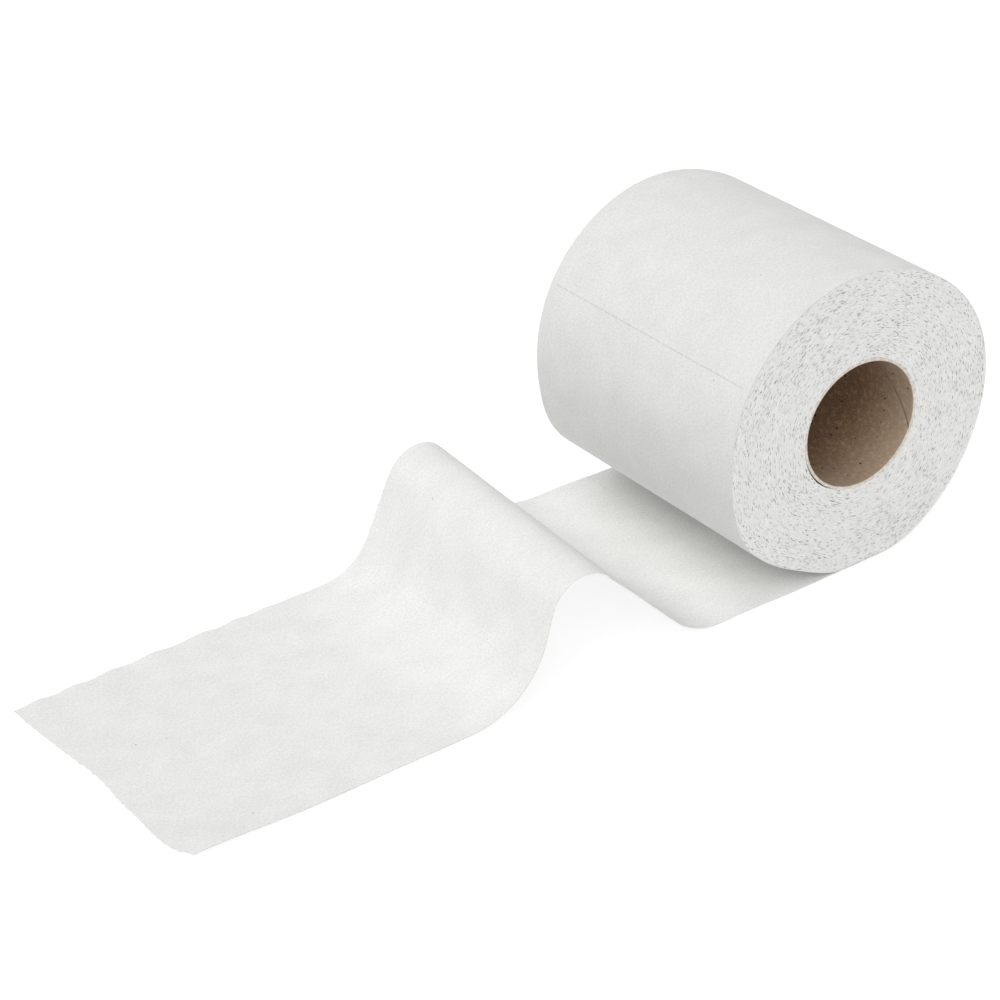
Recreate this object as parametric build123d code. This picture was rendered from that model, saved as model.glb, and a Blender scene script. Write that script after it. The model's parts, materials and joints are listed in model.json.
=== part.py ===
"""A toilet paper roll on its side, with its loose end drawn out over the surface it stands on.

Millimetres. The roll's axis runs along Y and +Z is up. The surface it stands on is z = 0, and the
origin is on that surface, straight under the roll's axis. The loose end runs off towards -X.
"""

import os
from math import cos, degrees, exp, radians, sin

from build123d import *

# The sheet.
sheet_width = 100.0  # also the roll's length
sheet_length = 124.0  # from one perforated line to the next
sheet_thickness = 0.3  # two soft plies, lying loose

# The board tube that the sheet is wound on.
core_bore_radius = 21.3
core_wall = 0.95
core_clearance = 0.05  # between the tube and the first turn of paper

# The wound roll. It sags by this much under its weight, which gives it a small flat spot to stand on.
roll_radius = 51.6
roll_sag = 1.7
foot_round = 30.0  # rounds the flat spot into the roll's side
outline_points = 36

# Where the soft roll departs from round: (angle from +X towards +Z, height of the swelling, half width).
swellings = [
    (20, 1.0, 25),
    (70, -0.8, 22),
    (208, 1.8, 16),
    (243, -1.5, 16),
    (325, -0.6, 25),
]

# The loose end's hump, along its underside: where its straight stretches would meet, as (distance from
# the roll's side, height), and the radius that rounds each meeting. It lies a little askew, so the near
# edge, at -Y, and the far edge, at +Y, differ.
near_hump = [(15.3, 0.0), (61.9, 50.5), (75.6, 0.0)]
far_hump = [(7.8, 0.0), (51.0, 46.4), (74.8, 0.0)]
near_bends = [24.0, 12.5, 31.0]
far_bends = [24.0, 12.8, 20.5]

# The torn end: how far it lies from the roll's side, and how the tear wanders across the sheet, as
# (share of the half width, how much further out the paper reaches there).
torn_reach = 195.8
tear = [(-0.8, 0.6), (-0.5, 0.1), (-0.2, -0.2), (0.07, -1.0), (0.25, -0.3), (0.5, 0.8), (1.0, 2.0)]
torn_corner = 2.0  # how far the worn corner at the near edge falls short
overrun = 10.0  # the loose end is made this much too long, then torn

# The perforated lines. The first is the tear itself.
perforated_lines = 4  # the others that show, from the torn end back over the roll's last turn
slit_length = 2.5
slit_width = 0.2
tie_length = 1.2  # the paper left between two slits
slit_margin = 1.0  # the least paper left between the last slit and the sheet's edge

axis_height = roll_radius - roll_sag
core_radius = core_bore_radius + core_wall
torn_end = -(roll_radius + torn_reach)


def end_plane(y):
    """The plane across the roll's axis at y, where local x is X and local y is Z."""
    return Plane(origin=(0, y, 0), x_dir=(1, 0, 0), z_dir=(0, -1, 0))


def outline_radius(angle):
    """The wound roll's radius in the direction of an angle in degrees."""
    radius = roll_radius
    for centre, height, half_width in swellings:
        away = (angle - centre + 180) % 360 - 180
        radius += height * exp(-((away / half_width) ** 2))
    return radius


def outline_point(angle):
    """The point of the roll's outline in the direction of an angle in degrees, as (x, z)."""
    radius = outline_radius(angle)
    return radius * cos(radians(angle)), axis_height + radius * sin(radians(angle))


def wound_turns():
    """The turns of paper, as one ring with a flat spot below and a hole for the core."""
    outline = Spline(*[outline_point(360 * i / outline_points) for i in range(outline_points)], periodic=True)
    hole = Pos(0, axis_height) * Circle(core_radius + core_clearance)
    turns = extrude(end_plane(sheet_width / 2) * (make_face(outline) - hole), amount=sheet_width)
    turns -= Pos(0, 0, -roll_radius) * Box(4 * roll_radius, 2 * sheet_width, 2 * roll_radius)
    flat_spot = turns.faces().sort_by(Axis.Z)[0]
    return fillet(flat_spot.edges().sort_by(Axis.X)[-1], foot_round)


def edge_line(hump, bends):
    """The underside of the loose end along one edge, from under the roll's axis to past the tear."""
    corners = [(-(roll_radius + distance), height) for distance, height in hump]
    return FilletPolyline((0, 0), *corners, (torn_end - overrun, 0), radius=bends)


def edge_section(y, line):
    """The loose end's section at the edge at y. The paper lies above the line of its underside."""
    return end_plane(y) * make_face(Wire(line.edges()).offset_2d(sheet_thickness, side=Side.RIGHT))


def torn_off():
    """What the tear takes from the end of the sheet, as a thick slab in plan."""
    half_width = sheet_width / 2
    points = [(torn_end - further, share * half_width) for share, further in tear]
    line = Spline((torn_end + torn_corner, -half_width), *points)
    far_out = torn_end - 2 * overrun
    rest = Polyline(line @ 1, (far_out, half_width), (far_out, -half_width), line @ 0)
    return extrude(Pos(0, 0, -overrun) * make_face([line, rest]), amount=2 * overrun)


def slits(middle, along, outward, depth):
    """One perforated line right across the sheet, centred on middle, as a row of cutters."""
    pitch = slit_length + tie_length
    count = int((sheet_width - 2 * slit_margin + tie_length) / pitch)
    line = Plane(origin=middle, x_dir=along, z_dir=outward)
    slit = Box(slit_length, slit_width, 2 * depth)
    return [line * Pos((i - (count - 1) / 2) * pitch) * slit for i in range(count)]


def slits_on_loose_end(near, far, near_length, far_length):
    """A perforated line where the sheet has left the roll, that far along its two edges from the roll."""
    start = near.position_at(near_length / near.length)
    end = far.position_at(far_length / far.length)
    forward = near.tangent_at(near_length / near.length) + far.tangent_at(far_length / far.length)
    outward = (end - start).cross(forward)
    return slits((start + end) * 0.5, end - start, outward, 4 * sheet_thickness)


def slits_on_roll(length):
    """A perforated line on the roll's last turn, that far round it from under the axis."""
    angle = 270 + degrees(length / roll_radius)
    outward = Vector(cos(radians(angle)), 0, sin(radians(angle)))
    surface = Vector(0, 0, axis_height) + outward * outline_radius(angle)
    return slits(surface, Vector(0, 1, 0), outward, sheet_thickness)


def wound_sheet():
    """The whole sheet, as one solid: the wound turns and the loose end that they run out into."""
    near_line = edge_line(near_hump, near_bends)
    far_line = edge_line(far_hump, far_bends)
    sections = [edge_section(-sheet_width / 2, near_line), edge_section(sheet_width / 2, far_line)]
    loose_end = loft(sections, ruled=True) - torn_off()

    near = end_plane(-sheet_width / 2) * near_line
    far = end_plane(sheet_width / 2) * far_line
    cutters = []
    for sheets in range(1, perforated_lines + 1):
        near_left = near.length - overrun - sheets * sheet_length
        far_left = far.length - overrun - sheets * sheet_length
        if min(near_left, far_left) > 0:
            cutters += slits_on_loose_end(near, far, near_left, far_left)
        else:
            cutters += slits_on_roll(-(near_left + far_left) / 2)
    return wound_turns() + loose_end - cutters


def core_tube():
    """The board tube, as long as the roll."""
    tube = Cylinder(core_radius, sheet_width) - Cylinder(core_bore_radius, sheet_width)
    return Pos(0, 0, axis_height) * Rot(X=90) * tube


os.makedirs("parts", exist_ok=True)
for name, piece in {"paper": wound_sheet(), "core": core_tube()}.items():
    print(name, len(piece.solids()), "solid", round(piece.volume), "mm3", piece.bounding_box())
    export_step(piece, f"parts/{name}.step")
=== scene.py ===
# %% [markdown]
# # A toilet paper roll with its loose end drawn out
#
# The real thing is one long tissue sheet, wound about a hundred and twenty times round a board tube.
# Three pieces stand for it here. The wound turns show only their cut edges, at the two ends of the roll.
# The outer sheet is the last turn and the loose end, as one sheet of its real flat size. The board tube
# is the core that everything is wound on.

# %% Load the frame
import json
from math import atan2, cos, degrees, exp, hypot, pi, radians, sin

import bmesh
import bpy
import numpy as np
from mathutils import Matrix, Vector, noise
from mathutils.bvhtree import BVHTree


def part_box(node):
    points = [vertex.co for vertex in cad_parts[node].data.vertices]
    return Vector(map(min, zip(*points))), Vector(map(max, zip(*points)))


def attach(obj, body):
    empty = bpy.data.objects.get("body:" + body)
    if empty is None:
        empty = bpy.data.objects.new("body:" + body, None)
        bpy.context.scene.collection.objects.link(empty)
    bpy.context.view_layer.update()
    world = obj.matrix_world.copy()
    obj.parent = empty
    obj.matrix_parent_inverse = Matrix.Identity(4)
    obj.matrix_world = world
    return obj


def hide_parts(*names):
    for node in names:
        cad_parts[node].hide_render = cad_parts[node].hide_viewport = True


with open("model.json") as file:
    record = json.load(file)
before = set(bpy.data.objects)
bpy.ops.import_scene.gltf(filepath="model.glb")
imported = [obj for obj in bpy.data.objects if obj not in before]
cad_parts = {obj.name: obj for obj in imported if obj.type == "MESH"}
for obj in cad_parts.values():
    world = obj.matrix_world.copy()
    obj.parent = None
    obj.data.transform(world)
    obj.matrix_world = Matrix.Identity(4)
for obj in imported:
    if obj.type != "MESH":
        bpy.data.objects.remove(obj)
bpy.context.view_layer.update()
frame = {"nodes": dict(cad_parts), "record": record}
mm = 0.001

# %% [markdown]
# ## What the frame says
#
# Every size that the model already has is read from it, so the looks always fit. The roll's axis is the
# tube's, the sheet is as wide as the roll is long, and the tube's own box gives its radius.

# %% Read the main sizes
core_low, core_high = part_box("core")
paper_low, paper_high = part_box("paper")
axis_height = (core_low.z + core_high.z) / 2
half_width = (paper_high.y - paper_low.y) / 2
core_radius = (core_high.x - core_low.x) / 2
bore_radius = frame["record"]["mounts"][0]["dims"]["r_mm"] * mm
sheet_thickness = 0.3 * mm
sheet_length = 124 * mm  # from one perforated line to the next
print("axis height", axis_height, "tube", core_radius, bore_radius, "half width", half_width)

# %% [markdown]
# A soft roll isn't quite round, and it stands on a small flat spot. Rays shot outwards from the axis find
# the roll's outline, one for each degree. The model's surface is made of flat facets, so the radii are
# averaged with their neighbours, as a hand would smooth clay, or the facets would show as stripes.

# %% Measure the roll's outline
def solid_of(name):
    """A CAD node as a tree that rays can be shot at."""
    mesh = frame["nodes"][name].data
    return BVHTree.FromPolygons([v.co for v in mesh.vertices], [p.vertices for p in mesh.polygons])


def smoothed(values, width, round_about=False):
    """The values, each averaged with its neighbours by a bell curve of that width, in steps."""
    reach = int(3 * width)
    bell = np.exp(-0.5 * (np.arange(-reach, reach + 1) / width) ** 2)
    padded = np.pad(values, reach, mode="wrap" if round_about else "edge")
    return np.convolve(padded, bell / bell.sum(), mode="valid")


paper_solid = solid_of("paper")
facet_width = 3.5  # of the bell curve that hides the facets, in degrees
outline = []
for degree in range(360):
    way = Vector((cos(radians(degree)), 0, sin(radians(degree))))
    start = Vector((0, 0, axis_height)) + way * (core_radius + 3 * mm)
    outline.append((paper_solid.ray_cast(start, way)[0] - Vector((0, 0, axis_height))).length)
outline = smoothed(np.array(outline), facet_width, round_about=True)
print("outline radius from", round(outline.min() / mm, 1), "to", round(outline.max() / mm, 1), "mm")


def outline_radius(degree):
    """The roll's radius in a direction, in degrees from +X towards +Z."""
    return np.interp(degree % 360, np.arange(361), np.append(outline, outline[0]))


# %% [markdown]
# The loose end leaves the roll underneath, rises over a hump and lies flat again. Rays shot upwards find
# its underside along each of its two edges. The hump lies a little askew, so the two edges differ.

# %% Measure the loose end's two edges
ray_step = 0.25 * mm
slump_from, slump_to = -40 * mm, -62 * mm  # the slump grows between these two places along x


def underside(y, steeper):
    """The loose end's underside at one edge, from under the axis to the tear, as x, z and distance.

    Steeper says how far the hump's foot by the roll is pushed back under its crest, as a limp sheet slumps.
    """
    xs, zs = [], []
    x = 0.0
    while x > paper_low.x + 4 * mm:
        hit = paper_solid.ray_cast(Vector((x, y, -5 * mm)), Vector((0, 0, 1)))[0]
        xs.append(x)
        zs.append(hit.z)
        x -= ray_step
    zs = smoothed(np.array(zs), 5)
    xs = np.array(xs)
    crest = int(zs.argmax())
    by_roll = np.clip((xs - slump_from) / (slump_to - slump_from), 0, 1)
    before_crest = np.arange(len(xs)) <= crest
    xs = xs - steeper * (1 - zs / zs[crest]) * by_roll**2 * (3 - 2 * by_roll) * before_crest
    steps = np.hypot(np.diff(xs), np.diff(zs))
    return xs, zs, np.append(0, np.cumsum(steps))


edge_inset = 0.5 * mm
far_slump = 8.5 * mm
near_edge = underside(-half_width + edge_inset, 0)
far_edge = underside(half_width - edge_inset, far_slump)
torn_end = -247.4 * mm  # where the tear lies, on average
loose_run = []
for xs, zs, run in (near_edge, far_edge):
    loose_run.append(run[-1] + (xs[-1] - torn_end))
print("the loose end is", [round(r / mm, 1) for r in loose_run], "mm long at its near and far edges")

# %% [markdown]
# ## The outer sheet
#
# A real sheet is flat before it is wound, and every part of it keeps its flat size. So it is made flat
# first: a grid in which one direction is the distance from the torn end and the other lies across the
# sheet. Its holes are cut while it is flat, where they are straight, and only then is it laid in place.
#
# The sheet is as long as its loose end and one turn of the roll. The turn ends underneath itself, out of
# sight, where the next turn of the real sheet would carry on.

# %% Plan the flat sheet
around = np.arange(270, 631)
outline_points = [
    (outline_radius(d) * cos(radians(d)), axis_height + outline_radius(d) * sin(radians(d))) for d in around
]
steps_round = np.hypot(*np.diff(np.array(outline_points), axis=0).T)
turn_run = np.append(0, np.cumsum(steps_round))
turn_length = turn_run[-1]
loose_length = sum(loose_run) / 2
sheet_run = loose_length + turn_length
print("sheet", round(sheet_run / mm, 1), "mm long, of which loose", round(loose_length / mm, 1))

slit_length = 2.5 * mm
slit_width = 0.12 * mm
tie_length = 1.2 * mm
pitch = slit_length + tie_length
slit_count = 26
slit_starts = [(i - slit_count / 2) * pitch + tie_length / 2 for i in range(slit_count)]
perforated = [i * sheet_length for i in range(1, 5)]


# %% Lay a point of the flat sheet in place
def along_edge(edge, run, share):
    """The place at a share of one edge's length from under the axis to the torn end, as (x, z)."""
    xs, zs, distances = edge
    distance = share * run
    beyond = max(0.0, distance - distances[-1])
    return np.interp(distance, distances, xs) - beyond, np.interp(distance, distances, zs)


def turn_degree(distance):
    """The direction, in degrees, that far back round the roll from under its axis."""
    return np.interp(distance, turn_run, around)


def laid(distance, across):
    """Where a point of the flat sheet comes to lie: its distance from the torn end, and its place across."""
    if distance > loose_length:
        back = distance - loose_length
        degree = turn_degree(back)
        radius = outline_radius(degree) - sheet_thickness * back / turn_length
        x = radius * cos(radians(degree))
        z = axis_height + radius * sin(radians(degree))
        return Vector((x, across, max(z, 0.0)))
    share = 1 - distance / loose_length
    near = along_edge(near_edge, loose_run[0], share)
    far = along_edge(far_edge, loose_run[1], share)
    mix = 0.5 + 0.5 * across / half_width
    return Vector((near[0] + (far[0] - near[0]) * mix, across, near[1] + (far[1] - near[1]) * mix))


# %% [markdown]
# Tissue is limp, so it never lies quite flat. Its worn corner lifts, its free edge ripples, and the
# stretch between the hump and the roll stands a little off the table. These lifts are half a millimetre
# or so: enough to catch the light, and too little to see as folds.

# %% Lift the limp places
corner_reach = 17 * mm
corner_lift = 1.5 * mm
near_edge_lift = 0.8 * mm
by_roll_lift = 0.6 * mm
swell_lift = 0.35 * mm
ripple_length = 13 * mm
ripple_height = 0.7 * mm
ripple_depth = 9 * mm


def bell(value, centre, width):
    """A smooth rise to 1 at the centre and back to 0 about twice its width away."""
    return exp(-(((value - centre) / width) ** 2))


def lift(distance, across):
    """How far the limp sheet stands off the surface it lies on."""
    to_corner = hypot(distance, across + half_width)
    height = corner_lift * exp(-((to_corner / corner_reach) ** 2))
    height += near_edge_lift * bell(distance, 18 * mm, 16 * mm) * bell(across, -half_width, 12 * mm)
    edge_share = max(0.0, 1 - (half_width - across) / ripple_depth)
    wander = noise.noise(Vector((distance / (45 * mm), 3.1, 0)))
    ripple = 0.5 - 0.5 * cos(2 * pi * (distance / ripple_length + wander))
    fade = min(1.0, max(0.0, (100 * mm - distance) / (25 * mm)))
    height += ripple_height * ripple * edge_share**2 * fade
    height += by_roll_lift * bell(distance, loose_length - 48 * mm, 14 * mm)
    swell = noise.noise(Vector((distance / (34 * mm), across / (30 * mm), 7.7)))
    height += swell_lift * (0.5 + 0.5 * swell)
    settled = min(1.0, max(0.0, (loose_length - 16 * mm - distance) / (20 * mm)))
    return height * settled


# %% [markdown]
# The torn end follows a perforated line: the slits leave clean edges, and each torn tie between them
# leaves a small ragged tooth. The tear also wanders by a millimetre or two, and the frame says how.

# %% Shape the tear
tear_low = paper_low.x - 5 * mm


def tear_wander(across):
    """How far beyond the average the torn end reaches, read from the model."""
    y = max(-half_width + edge_inset, min(half_width - edge_inset, across))
    hit = paper_solid.ray_cast(Vector((tear_low, y, sheet_thickness / 2)), Vector((1, 0, 0)))[0]
    return torn_end - hit.x


worn_corner = 1.4 * mm
tooth_height = 0.45 * mm
fibre_height = 0.12 * mm
tear_reach = 40 * mm


def tear_shift(distance, across):
    """How much further out a point near the torn end lies, so that the end is torn and not cut."""
    hold = max(0.0, 1 - distance / tear_reach)
    shift = tear_wander(across) * hold**2
    shift -= worn_corner * bell(across, -half_width, 2.4 * mm) * max(0.0, 1 - distance / (9 * mm)) ** 2
    if distance < 0.1 * mm:
        in_pitch = (across / pitch + 0.5 * (slit_count % 2 == 0)) % 1.0
        tie = bell(min(in_pitch, 1 - in_pitch), 0, 0.17)
        ragged = 0.5 + 0.9 * noise.noise(Vector((across / (0.9 * mm), 1.3, 4.2)))
        shift += tooth_height * max(0.0, tie * ragged)
        shift += fibre_height * noise.noise(Vector((across / (0.45 * mm), 8.8, 2.0)))
    return shift


# %% [markdown]
# The flat grid is cut across at each slit's two ends and along each perforated line, with the bisect
# operator, so that the slits' own faces can be picked out and deleted.

# %% Make the flat sheet
row_step = 2.0 * mm
row_count = int(sheet_run / row_step)
flat = bmesh.new()
bmesh.ops.create_grid(flat, x_segments=row_count, y_segments=1, size=1)
bmesh.ops.scale(flat, vec=(sheet_run / 2, half_width, 1), verts=flat.verts)
bmesh.ops.translate(flat, vec=(sheet_run / 2, 0, 0), verts=flat.verts)


def cut_flat(place, normal):
    """Cuts the whole flat sheet along a straight line."""
    everything = flat.verts[:] + flat.edges[:] + flat.faces[:]
    bmesh.ops.bisect_plane(flat, geom=everything, plane_co=place, plane_no=normal, dist=1e-7)


for start in slit_starts:
    for across in (start, start + slit_length / 2, start + slit_length, start + slit_length + tie_length / 2):
        cut_flat((0, across, 0), (0, 1, 0))
cut_flat((0, slit_starts[0] - tie_length / 2, 0), (0, 1, 0))
for distance in perforated:
    cut_flat((distance - slit_width / 2, 0, 0), (1, 0, 0))
    cut_flat((distance + slit_width / 2, 0, 0), (1, 0, 0))
cut_flat((0.6 * mm, 0, 0), (1, 0, 0))


def in_slit(face):
    """Whether a face of the flat sheet is one that a slit takes away."""
    middle = face.calc_center_median()
    on_line = any(abs(middle.x - distance) < slit_width / 2 for distance in perforated)
    return on_line and any(0 < middle.y - start < slit_length for start in slit_starts)


slit_faces = [face for face in flat.faces if in_slit(face)]
bmesh.ops.delete(flat, geom=slit_faces, context="FACES")
print("flat sheet:", len(flat.faces), "faces after", len(slit_faces), "slit faces went")

# %% [markdown]
# The flat places are kept as the sheet's UV map, so that creping, fibres and specks follow the sheet
# round the roll and over the hump. Then each point is laid in place. The sheet gets its thickness last,
# inwards, so that its outer face stays where the model has it.

# %% Lay the sheet and give it thickness
uv_size = 100 * mm  # one unit of the UV map is this long on the sheet
flat_uv = flat.loops.layers.uv.new("flat")
for face in flat.faces:
    for loop in face.loops:
        loop[flat_uv].uv = (loop.vert.co.x / uv_size, loop.vert.co.y / uv_size)
for vert in flat.verts:
    distance, across = vert.co.x, vert.co.y
    vert.co = laid(distance, across)
    vert.co.x -= tear_shift(distance, across)
    vert.co.z += lift(distance, across)
bmesh.ops.recalc_face_normals(flat, faces=flat.faces)
lowest = min(flat.faces, key=lambda face: face.calc_center_median().z)
if lowest.normal.z > 0:
    bmesh.ops.reverse_faces(flat, faces=flat.faces)
bmesh.ops.solidify(flat, geom=flat.faces[:], thickness=sheet_thickness)
for edge in flat.edges:
    edge.smooth = edge.calc_face_angle(0) < radians(40)


# %% [markdown]
# Each finished mesh becomes an object of its own at the origin. It rides on the model's one body and
# takes the finish it is given.

# %% A helper that finishes a piece
def piece_from(made, name, material, slot, *replaced):
    """Turns a bmesh into a named piece that stands for the CAD nodes given."""
    mesh = bpy.data.meshes.new(name)
    for face in made.faces:
        face.smooth = True
    made.to_mesh(mesh)
    made.free()
    mesh.materials.append(material)
    piece = bpy.data.objects.new(name, mesh)
    bpy.context.scene.collection.objects.link(piece)
    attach(piece, "root")
    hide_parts(*replaced)
    corners = [[round(f(v.co[i] for v in mesh.vertices) / mm, 1) for i in range(3)] for f in (min, max)]
    print(name, len(mesh.polygons), "faces, from", corners[0], "to", corners[1], "mm")
    return piece


loose_tissue = bpy.data.materials.new("loose_tissue")
outer_sheet = piece_from(flat, "outer_sheet", loose_tissue, "tissue", "paper")

# %% [markdown]
# ## The wound turns
#
# Under the last turn, the roll is a stack of cut edges at each end. A short profile across the stack,
# with one point for each turn, is spun once round the axis. Each ring of points then takes its place
# between the tube and the outer sheet, and each turn's edge sits a little higher or lower than the next,
# as they do where a blade has cut through soft paper.

# %% Spin the wound turns
turn_count = 127
spin_steps = 288
layer_gap = 0.02 * mm  # keeps neighbouring pieces from sharing a face
hole_radius = core_radius + layer_gap
oval = 0.4 * mm
shrink = 0.1 * mm


def squeezed(degree):
    """How much the soft tube, a little oval, stands off its true circle."""
    return oval * cos(2 * radians(degree)) - shrink


edge_radius = float(outline.mean())
profile = bmesh.new()
corners = [
    profile.verts.new((radius, y, axis_height))
    for radius, y in (
        (hole_radius, -half_width),
        (edge_radius, -half_width),
        (edge_radius, half_width),
        (hole_radius, half_width),
    )
]
sides = [profile.edges.new((corners[i], corners[(i + 1) % 4])) for i in range(4)]
bmesh.ops.subdivide_edges(profile, edges=[sides[0], sides[2]], cuts=turn_count - 1)
bmesh.ops.spin(
    profile,
    geom=profile.verts[:] + profile.edges[:],
    cent=(0, 0, axis_height),
    axis=(0, 1, 0),
    angle=2 * pi,
    steps=spin_steps,
    use_merge=True,
)
bmesh.ops.remove_doubles(profile, verts=profile.verts, dist=1e-6)

# %% Settle each turn
gap_direction = 215  # where the first turn stands off the tube
gap_width = 0.45 * mm
edge_relief = 0.16 * mm
wound_turn = profile.verts.layers.float.new("turn")


def first_turn_radius(degree):
    """Where the paper starts outside the tube. It stands off the tube in one place."""
    away = (degree - gap_direction + 180) % 360 - 180
    return hole_radius + squeezed(degree) + gap_width * exp(-((away / 20) ** 2))


def last_turn_radius(degree):
    """The outer sheet's inner face, which steps inwards by its thickness once round."""
    share = ((degree - 270) % 360) / 360
    return outline_radius(degree) - sheet_thickness * (1 + share) - layer_gap


for vert in profile.verts:
    x, z = vert.co.x, vert.co.z - axis_height
    degree = degrees(atan2(z, x))
    share = (hypot(x, z) - hole_radius) / (edge_radius - hole_radius)
    radius = first_turn_radius(degree) * (1 - share) + last_turn_radius(degree) * share
    turns = share * turn_count
    vert[wound_turn] = turns
    x, z = radius * cos(radians(degree)), radius * sin(radians(degree))
    outwards = 1 if vert.co.y > 0 else -1
    rough = noise.noise(Vector((x / (4 * mm), z / (4 * mm), turns * 2.3 + 50 * outwards)))
    broad = noise.noise(Vector((x / (30 * mm), z / (30 * mm), turns / 22 + 50 * outwards)))
    height = edge_relief * (0.7 * rough + 0.8 * broad - 1.1)
    vert.co = (x, vert.co.y + outwards * height, max(axis_height + z, sheet_thickness + layer_gap))
bmesh.ops.recalc_face_normals(profile, faces=profile.faces)
for edge in profile.edges:
    edge.smooth = edge.calc_face_angle(0) < radians(50)
wound_tissue = bpy.data.materials.new("wound_tissue")
piece_from(profile, "wound_turns", wound_tissue, "tissue", "paper")

# %% [markdown]
# ## The board tube
#
# The tube is wound from strips of grey-brown board, laid round a rod at a slant and glued. Where one turn
# of the inner strip meets the next, a fine seam climbs along the wall like the thread of a screw.
#
# A screw line is straight once its wall is unrolled. So the wall starts as a flat grid, which is cut along
# that straight line, grooved there, and then rolled up. It gets its thickness last, outwards, so that the
# bore keeps its size.

# %% Unroll the tube's wall
girth = 2 * pi * bore_radius
wall_thickness = core_radius - bore_radius
seam_lead = 121 * mm  # how far the seam climbs in one turn
seam_start = -24  # where it leaves the near end, in degrees from +X towards +Z
wall_cut = -60  # where the wall is cut open to lie flat
rim_round = 0.15 * mm
wall = bmesh.new()
bmesh.ops.create_grid(wall, x_segments=240, y_segments=64, size=1)
bmesh.ops.scale(wall, vec=(girth / 2, half_width, 1), verts=wall.verts)
bmesh.ops.translate(wall, vec=(girth / 2, 0, 0), verts=wall.verts)
bmesh.ops.solidify(wall, geom=wall.faces[:], thickness=wall_thickness)
lowest = min(vert.co.z for vert in wall.verts)
bmesh.ops.translate(wall, vec=(0, 0, -lowest), verts=wall.verts)
bmesh.ops.recalc_face_normals(wall, faces=wall.faces)


def on_rim_edge(edge):
    """Whether an edge runs along one of the wall's two rims."""
    first, second = (vert.co for vert in edge.verts)
    at_rim = min(abs(first.y), abs(second.y)) > half_width - 1e-6
    return at_rim and abs(first.x - second.x) > 1e-6 and abs(first.z - second.z) < 1e-6


rims = [edge for edge in wall.edges if on_rim_edge(edge)]
bmesh.ops.bevel(
    wall,
    geom=rims,
    affect="EDGES",
    offset=rim_round,
    segments=2,
    profile=0.5,
    material=-1,
    clamp_overlap=True,
)
cut_ends = [face for face in wall.faces if abs(face.normal.x) > 0.9]
bmesh.ops.delete(wall, geom=cut_ends, context="FACES")
print("unrolled wall:", len(wall.faces), "faces;", len(rims), "rim edges rounded")

# %% Cut the seam's groove
groove_width = 0.36 * mm
groove_depth = 0.22 * mm
ply_step = 0.1 * mm
ply_reach = 1.6 * mm
seam_place = Vector(((seam_start - wall_cut) / 360 * girth, -half_width, 0))
seam_across = Vector((seam_lead, -girth, 0)).normalized()
for offset in (-groove_width, -groove_width / 2, 0, groove_width / 2, groove_width, ply_reach):
    everything = wall.verts[:] + wall.edges[:] + wall.faces[:]
    place = seam_place + offset * seam_across
    bmesh.ops.bisect_plane(wall, geom=everything, plane_co=place, plane_no=seam_across, dist=1e-6)
board_uv = wall.loops.layers.uv.new("board")
for face in wall.faces:
    for loop in face.loops:
        loop[board_uv].uv = (loop.vert.co.x / uv_size, loop.vert.co.y / uv_size)
print("the seam climbs at", round(degrees(atan2(seam_lead, girth))), "degrees")

# %% Roll the wall up
wall_seam = wall.verts.layers.float.new("seam")
for vert in wall.verts:
    beside = (vert.co - seam_place).dot(seam_across)
    sunk = 0.0
    if vert.co.z < rim_round:
        vert[wall_seam] = max(0.0, 1 - abs(beside) / groove_width)
        sunk = groove_depth * vert[wall_seam]
        sunk -= ply_step * (beside > 0) * max(0.0, 1 - beside / ply_reach)
    degree = wall_cut + degrees(vert.co.x / bore_radius)
    radius = bore_radius + squeezed(degree) + vert.co.z + sunk
    vert.co = (radius * cos(radians(degree)), vert.co.y, axis_height + radius * sin(radians(degree)))
bmesh.ops.remove_doubles(wall, verts=wall.verts, dist=2e-6)
bmesh.ops.recalc_face_normals(wall, faces=wall.faces)
for edge in wall.edges:
    edge.smooth = edge.calc_face_angle(0) < radians(35)
brown_board = bpy.data.materials.new("brown_board")
piece_from(wall, "core_board_tube", brown_board, "core_board", "core")

# %% [markdown]
# ## Finishes
#
# Nothing here is a plain colour. Tissue is a mat of short pale fibres, creped into tiny ridges that run
# across the sheet, a little cloudy where the fibres lie thicker, with a rare dark speck. Recycled board
# shows fibres too. So the fibre pattern is a node group of its own, with a size to set for each material.

# %% Helpers for shader nodes
def add_node(tree, kind, inputs=None, **settings):
    """Adds a node and fills its inputs, by name or number, from values or from other nodes' outputs."""
    node = tree.nodes.new("ShaderNode" + kind)
    for name, value in settings.items():
        setattr(node, name, value)
    for name, value in (inputs or {}).items():
        if isinstance(value, bpy.types.NodeSocket):
            tree.links.new(value, node.inputs[name])
        else:
            node.inputs[name].default_value = value
    return node


def stretched(tree, vector, factors):
    """The vector with each part multiplied by its own factor."""
    return add_node(tree, "VectorMath", {0: vector, 1: factors}, operation="MULTIPLY").outputs[0]


def noise_value(tree, vector, detail=2.0):
    """A soft random value between 0 and 1, with a spacing of about one unit of the vector."""
    inputs = {"Vector": vector, "Scale": 1.0, "Detail": detail, "Roughness": 0.55}
    return add_node(tree, "TexNoise", inputs).outputs["Fac"]


def ramped(tree, value, low, high, to_low=0.0, to_high=1.0):
    """The value, with the stretch from low to high turned into one from to_low to to_high."""
    inputs = {"Value": value, "From Min": low, "From Max": high, "To Min": to_low, "To Max": to_high}
    return add_node(tree, "MapRange", inputs, interpolation_type="SMOOTHSTEP").outputs["Result"]


def combined(tree, operation, first, second):
    """Two values added, multiplied or otherwise brought together."""
    return add_node(tree, "Math", {0: first, 1: second}, operation=operation).outputs[0]


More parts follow.
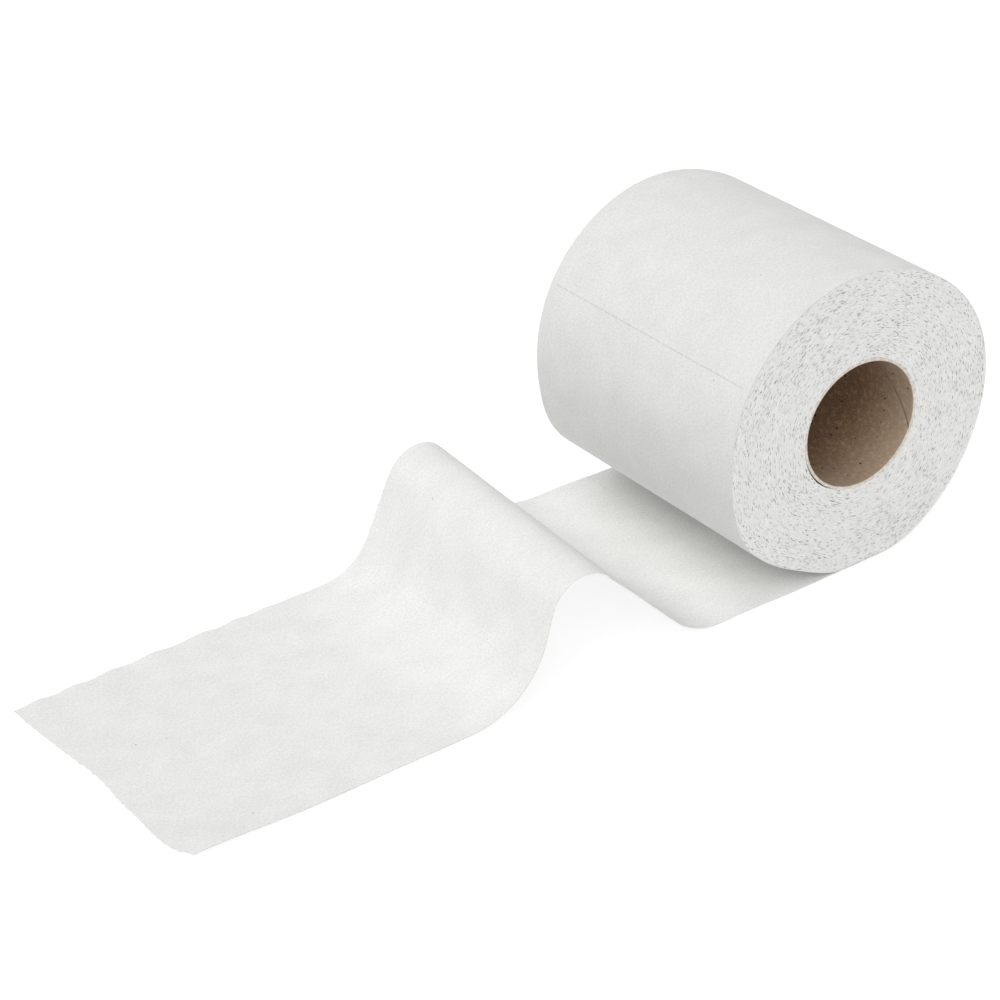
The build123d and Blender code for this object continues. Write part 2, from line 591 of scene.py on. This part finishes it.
def blended(tree, share, first, second):
    """A colour between two colours, by a share from 0 to 1."""
    node = add_node(tree, "Mix", {"Factor": share}, data_type="RGBA")
    for name, colour in ((6, first), (7, second)):
        if isinstance(colour, bpy.types.NodeSocket):
            tree.links.new(colour, node.inputs[name])
        else:
            node.inputs[name].default_value = (*colour, 1.0)
    return node.outputs[2]


def shaded(tree, colour, shade):
    """A colour made lighter or darker by a factor near 1."""
    grey = add_node(tree, "CombineColor", {"Red": shade, "Green": shade, "Blue": shade}).outputs[0]
    node = add_node(tree, "Mix", {"Factor": 1.0, 6: colour, 7: grey}, data_type="RGBA", blend_type="MULTIPLY")
    return node.outputs[2]


def new_group(name, inputs, outputs):
    """A shader node group with the sockets named, and its input and output nodes."""
    group = bpy.data.node_groups.new(name, "ShaderNodeTree")
    for way, sockets in (("INPUT", inputs), ("OUTPUT", outputs)):
        for socket, kind in sockets:
            group.interface.new_socket(name=socket, in_out=way, socket_type="NodeSocket" + kind)
    return group, group.nodes.new("NodeGroupInput"), group.nodes.new("NodeGroupOutput")


# %% The fibre pattern
fibre_group, given, result = new_group(
    "paper_fibres",
    [("Place", "Vector"), ("Grain", "Float"), ("Cloud", "Float"), ("Stretch", "Float")],
    [("Shade", "Float"), ("Specks", "Float"), ("Height", "Float")],
)
per_mm = stretched(fibre_group, given.outputs["Place"], (1000, 1000, 1000))
across_place = add_node(fibre_group, "CombineXYZ", {0: 1.0, 1: given.outputs["Stretch"], 2: 1.0}).outputs[0]
drawn_out = add_node(fibre_group, "VectorMath", {0: per_mm, 1: across_place}, operation="MULTIPLY").outputs[0]
ridges = noise_value(fibre_group, stretched(fibre_group, drawn_out, (1.7, 1.7, 1.7)))
fibres = noise_value(fibre_group, stretched(fibre_group, per_mm, (1.1, 1.1, 1.1)), detail=4.0)
clouds = noise_value(fibre_group, stretched(fibre_group, per_mm, (0.085, 0.085, 0.085)), detail=3.0)
cells = add_node(
    fibre_group, "TexVoronoi", {"Vector": stretched(fibre_group, per_mm, (0.11, 0.11, 0.11)), "Scale": 1.0}
)
speck_size = ramped(fibre_group, cells.outputs["Distance"], 0.02, 0.05, 1.0, 0.0)
kept = add_node(fibre_group, "SeparateColor", {0: cells.outputs["Color"]}).outputs[0]
specks = combined(fibre_group, "MULTIPLY", speck_size, ramped(fibre_group, kept, 0.5, 0.9))
ridge_sway = combined(fibre_group, "SUBTRACT", ridges, 0.5)
cloud_sway = combined(fibre_group, "SUBTRACT", clouds, 0.5)
grain = combined(fibre_group, "MULTIPLY", ridge_sway, given.outputs["Grain"])
cloud = combined(fibre_group, "MULTIPLY", cloud_sway, given.outputs["Cloud"])
shade = combined(fibre_group, "ADD", combined(fibre_group, "ADD", grain, cloud), 1.0)
height = combined(fibre_group, "ADD", ridges, fibres)
fibre_group.links.new(shade, result.inputs["Shade"])
fibre_group.links.new(specks, result.inputs["Specks"])
fibre_group.links.new(height, result.inputs["Height"])
print("fibre group:", len(fibre_group.nodes), "nodes")


# %% A helper that finishes a material
def finish_material(material, colour, height, relief, roughness, specular):
    """Feeds a colour and a height to the material's shader."""
    tree = material.node_tree
    bump = add_node(tree, "Bump", {"Height": height, "Strength": 1.0, "Distance": relief})
    shader = tree.nodes["Principled BSDF"]
    shader.inputs["Roughness"].default_value = roughness
    shader.inputs["Specular IOR Level"].default_value = specular
    tree.links.new(colour, shader.inputs["Base Color"])
    tree.links.new(bump.outputs["Normal"], shader.inputs["Normal"])
    print(material.name, "has", len(tree.nodes), "nodes")


def place_in_metres(tree, uv_name):
    """The unrolled or flat place on a piece, from its UV map, in metres."""
    flat_place = add_node(tree, "UVMap", uv_map=uv_name).outputs[0]
    return stretched(tree, flat_place, (uv_size, uv_size, uv_size))


def fibre_pattern(tree, place, grain, cloud, stretch):
    """The fibre group at a place, with the strength of its grain and clouds and the ridges' stretch."""
    inputs = {"Place": place, "Grain": grain, "Cloud": cloud, "Stretch": stretch}
    return add_node(tree, "Group", inputs, node_tree=fibre_group)


# %% [markdown]
# The sheet's finish follows its flat places, so its ridges bend with it. It is one pale colour, and a
# shade deeper down the side of the roll that faces the loose end. That deeper tone is painted shade: it
# stands in for light that these few lamps don't shape finely enough.

# %% Finish the outer sheet
pale_tissue = (0.825, 0.825, 0.81)
painted_shade_tissue = (0.76, 0.76, 0.747)
speck_grey = (0.42, 0.41, 0.40)
loose_tissue.use_nodes = True
tree = loose_tissue.node_tree
place = place_in_metres(tree, "flat")
pattern = fibre_pattern(tree, place, grain=0.34, cloud=0.14, stretch=0.55)
from_tear = add_node(tree, "SeparateXYZ", {0: place}).outputs[0]
# Painted shade: the sheet's colour deepens down the side of the roll that faces the loose end.
past_top = ramped(tree, from_tear, loose_length + 130 * mm, loose_length + 180 * mm)
at_foot = ramped(tree, from_tear, loose_length + 240 * mm, loose_length + 285 * mm)
painted_shade_share = combined(tree, "SUBTRACT", past_top, at_foot)
tissue_colour = blended(tree, painted_shade_share, pale_tissue, painted_shade_tissue)
tissue_colour = shaded(tree, tissue_colour, pattern.outputs["Shade"])
tissue_colour = blended(tree, pattern.outputs["Specks"], tissue_colour, speck_grey)
finish_material(loose_tissue, tissue_colour, pattern.outputs["Height"], 0.06 * mm, 0.95, 0.2)

# %% [markdown]
# On the roll's ends, each turn is a line as fine as a hair. The blade leaves most of them pressed
# together and opens short gaps between others. The dark of each gap is painted shade: dark dashes that
# follow the turns, with a fainter painted shade around them. A noise that changes fast from turn to turn,
# and slowly along a turn, gives such dashes. It reads the turn number kept on the mesh, so the dashes
# bend with the soft roll and meet without a seam.

# %% Finish the wound turns
wound_tissue.use_nodes = True
tree = wound_tissue.node_tree
place = add_node(tree, "TexCoord").outputs["Object"]
turn_number = add_node(tree, "Attribute", attribute_name="turn").outputs["Fac"]
parts = add_node(tree, "SeparateXYZ", {0: place})


def along_turns(steps_per_mm, per_turn, offset):
    """A place that changes with the turn's number much faster than along the turn."""
    along_x = combined(tree, "MULTIPLY", parts.outputs["X"], 1000 * steps_per_mm)
    along_z = combined(tree, "MULTIPLY", parts.outputs["Z"], 1000 * steps_per_mm)
    turn_step = combined(tree, "MULTIPLY_ADD", turn_number, per_turn)
    turn_step.node.inputs[2].default_value = offset
    end_step = combined(tree, "MULTIPLY", parts.outputs["Y"], 400)
    vector = add_node(tree, "CombineXYZ", {0: along_x, 1: turn_step, 2: along_z}).outputs[0]
    shift = add_node(tree, "CombineXYZ", {0: end_step, 1: 0.0, 2: 0.0}).outputs[0]
    return add_node(tree, "VectorMath", {0: vector, 1: shift}, operation="ADD").outputs[0]


dull_edge = (0.84, 0.84, 0.825)
bright_edge = (0.90, 0.90, 0.885)
# Painted shade: the dark colour that fills the gaps between turns.
painted_gap_shade = (0.14, 0.137, 0.13)
dash_noise = noise_value(tree, along_turns(0.62, 1.0, 0.0), detail=1.5)
streak_noise = noise_value(tree, along_turns(0.28, 0.5, 40.0), detail=2.0)
patch_noise = noise_value(tree, stretched(tree, place, (70, 20, 70)), detail=1.0)
crowding = combined(tree, "MULTIPLY", combined(tree, "SUBTRACT", patch_noise, 0.5), 0.10)
dash_value = combined(tree, "ADD", dash_noise, crowding)
gaps = ramped(tree, dash_value, 0.63, 0.68)
# Painted shade: a fainter darkening around each gap between turns.
faint_gap_shade = ramped(tree, dash_value, 0.52, 0.63, 0.0, 0.16)
pattern = fibre_pattern(tree, place, grain=0.08, cloud=0.05, stretch=1.0)
edge_colour = blended(tree, ramped(tree, streak_noise, 0.35, 0.65), dull_edge, bright_edge)
edge_colour = shaded(tree, edge_colour, pattern.outputs["Shade"])
edge_colour = blended(tree, faint_gap_shade, edge_colour, painted_gap_shade)
edge_colour = blended(tree, combined(tree, "MULTIPLY", gaps, 0.85), edge_colour, painted_gap_shade)
edge_height = combined(tree, "SUBTRACT", combined(tree, "MULTIPLY", streak_noise, 0.6), gaps)
finish_material(wound_tissue, edge_colour, edge_height, 0.06 * mm, 0.95, 0.2)

# %% [markdown]
# The board is made of recycled paper: brown and grey fibres, a few dark flecks of old print, and a paler,
# fuzzy rim where the blade cut through its layers. The bore has painted light: it is made paler towards
# each opening, where light falls in, so that it looks deep inside.

# %% Finish the board tube
board_brown = (0.285, 0.188, 0.113)
board_rust = (0.47, 0.305, 0.18)
opening_light_paint = (0.62, 0.52, 0.42)
board_rim = (0.68, 0.61, 0.53)
fresh_fibre = (0.82, 0.78, 0.72)
seam_joint_and_shade = (0.10, 0.07, 0.05)
fleck_black = (0.03, 0.028, 0.035)
brown_board.use_nodes = True
tree = brown_board.node_tree
place = place_in_metres(tree, "board")
pattern = fibre_pattern(tree, place, grain=1.5, cloud=0.5, stretch=0.8)
rust = noise_value(tree, stretched(tree, place, (600, 450, 600)), detail=4.0)
board_colour = blended(tree, ramped(tree, rust, 0.45, 0.75), board_brown, board_rust)
board_colour = shaded(tree, board_colour, pattern.outputs["Shade"])
object_place = add_node(tree, "TexCoord").outputs["Object"]
object_parts = add_node(tree, "SeparateXYZ", {0: object_place})
from_middle = combined(tree, "ABSOLUTE", object_parts.outputs["Y"], 0.0)
# Painted light: the bore is made paler towards each opening, and so stays darker deep inside.
painted_light_share = ramped(tree, from_middle, half_width - 26 * mm, half_width, 0.0, 0.4)
board_colour = blended(tree, painted_light_share, board_colour, opening_light_paint)
fleck_place = stretched(tree, place, (260, 170, 260))
fleck_cells = add_node(tree, "TexVoronoi", {"Vector": fleck_place, "Scale": 1.0}, voronoi_dimensions="2D")
fleck_kept = add_node(tree, "SeparateColor", {0: fleck_cells.outputs["Color"]})
fleck_reach = ramped(tree, fleck_kept.outputs[1], 0.2, 1.0, 0.03, 0.1)
fleck_near = combined(tree, "LESS_THAN", fleck_cells.outputs["Distance"], fleck_reach)
fleck_few = combined(tree, "GREATER_THAN", fleck_kept.outputs[0], 0.6)
flecks = combined(tree, "MULTIPLY", fleck_near, fleck_few)
board_colour = blended(tree, combined(tree, "MULTIPLY", flecks, 0.85), board_colour, fleck_black)
# The seam's dark line is partly the dark glued joint and partly painted shade in its groove.
seam_joint_and_shade_mask = add_node(tree, "Attribute", attribute_name="seam").outputs["Fac"]
board_colour = blended(tree, combined(tree, "MULTIPLY", seam_joint_and_shade_mask, 0.95), board_colour, seam_joint_and_shade)
on_rim = ramped(tree, from_middle, half_width - 0.45 * mm, half_width - 0.1 * mm)
torn_fibre = noise_value(tree, stretched(tree, object_place, (700, 700, 700)))
rim_colour = blended(tree, ramped(tree, torn_fibre, 0.42, 0.62), board_rim, fresh_fibre)
board_colour = blended(tree, on_rim, board_colour, rim_colour)
finish_material(brown_board, board_colour, pattern.outputs["Height"], 0.05 * mm, 0.9, 0.25)

# %% [markdown]
# ## The table and the light
#
# The roll stands on a plain white table under a bright, soft sky. Three broad lamps give it form: one at
# the left, one at the front, and one behind, as a bright backdrop would. The table looks white by itself:
# for the camera, most of its brightness is its own, and the rest is the light that falls on it, so the
# roll keeps a faint shadow.

# %% Set the table
def seen_directly(tree):
    """1 for a ray from the camera, or one mirrored or let through on its way, and 0 for the rest."""
    paths = add_node(tree, "LightPath")
    seen = combined(tree, "MAXIMUM", paths.outputs["Is Camera Ray"], paths.outputs["Is Glossy Ray"])
    return combined(tree, "MAXIMUM", seen, paths.outputs["Is Transmission Ray"])


table_mesh = bmesh.new()
bmesh.ops.create_grid(table_mesh, x_segments=1, y_segments=1, size=4)
bmesh.ops.translate(table_mesh, vec=(0, 0, -0.1 * mm), verts=table_mesh.verts)
table_data = bpy.data.meshes.new("table")
table_mesh.to_mesh(table_data)
table_mesh.free()
table = bpy.data.objects.new("table", table_data)
bpy.context.scene.collection.objects.link(table)

table_white = bpy.data.materials.new("table_white")
table_white.use_nodes = True
tree = table_white.node_tree
tree.nodes.clear()
lit = add_node(tree, "BsdfDiffuse", {"Color": (0.92, 0.92, 0.92, 1)}).outputs[0]
own_share = 0.86
lit_share = 0.26
glow = add_node(tree, "Emission", {"Color": (1, 1, 1, 1), "Strength": own_share}).outputs[0]
dimmed = add_node(tree, "BsdfDiffuse", {"Color": (lit_share, lit_share, lit_share, 1)}).outputs[0]
white = add_node(tree, "AddShader", {0: glow, 1: dimmed}).outputs[0]
surface = add_node(tree, "MixShader", {0: seen_directly(tree), 1: lit, 2: white}).outputs[0]
add_node(tree, "OutputMaterial", {"Surface": surface})
table_data.materials.append(table_white)

# %% Light it
sky_strength = 0.27
lamp_spread = 60  # how broad a lamp looks from the roll, in degrees
sky = bpy.data.worlds.new("sky")
sky.use_nodes = True
bpy.context.scene.world = sky
tree = sky.node_tree
tree.nodes.clear()
strength = ramped(tree, seen_directly(tree), 0.0, 1.0, sky_strength, 1.0)
background = add_node(tree, "Background", {"Color": (1, 1, 1, 1), "Strength": strength}).outputs[0]
add_node(tree, "OutputWorld", {"Surface": background})


def add_lamp(name, azimuth, height, strength):
    """A broad, distant lamp. At strength 1 it lights a white surface that faces it fully."""
    data = bpy.data.lights.new(name, "SUN")
    data.energy = strength * pi
    data.angle = radians(lamp_spread)
    lamp = bpy.data.objects.new(name, data)
    azimuth, height = radians(azimuth), radians(height)
    towards = Vector((sin(azimuth) * cos(height), -cos(azimuth) * cos(height), sin(height)))
    lamp.rotation_euler = towards.to_track_quat("Z", "Y").to_euler()
    bpy.context.scene.collection.objects.link(lamp)
    return strength * sin(height)


on_table = sky_strength
for name, azimuth, height, strength in (
    ("side_lamp", -75, 60, 0.42),
    ("front_lamp", -28, 33, 0.33),
    ("back_lamp", 170, 35, 0.26),
):
    on_table += add_lamp(name, azimuth, height, strength)
print("light on the table:", round(on_table, 2))

# %% [markdown]
# ## The camera
#
# The camera stands at the loose end's side and looks down at the roll through a long lens, and is rolled
# a little.

# %% Place the camera
camera_place = (-0.54716, -0.67847, 0.51031)
azimuth, elevation, tilt = radians(-33.258), radians(30.106), radians(-3.861)
backwards = Vector((sin(azimuth) * cos(elevation), -cos(azimuth) * cos(elevation), sin(elevation)))
level = (-backwards).cross(Vector((0, 0, 1))).normalized()
upright = level.cross(-backwards)
rightwards = level * cos(tilt) + upright * sin(tilt)
upwards = upright * cos(tilt) - level * sin(tilt)
camera_data = bpy.data.cameras.new("camera")
camera_data.lens = 110.15
camera = bpy.data.objects.new("camera", camera_data)
turned = Matrix((rightwards, upwards, backwards)).transposed().to_4x4()
camera.matrix_world = Matrix.Translation(camera_place) @ turned
bpy.context.scene.collection.objects.link(camera)
bpy.context.scene.camera = camera
bpy.context.scene.view_settings.view_transform = "Standard"
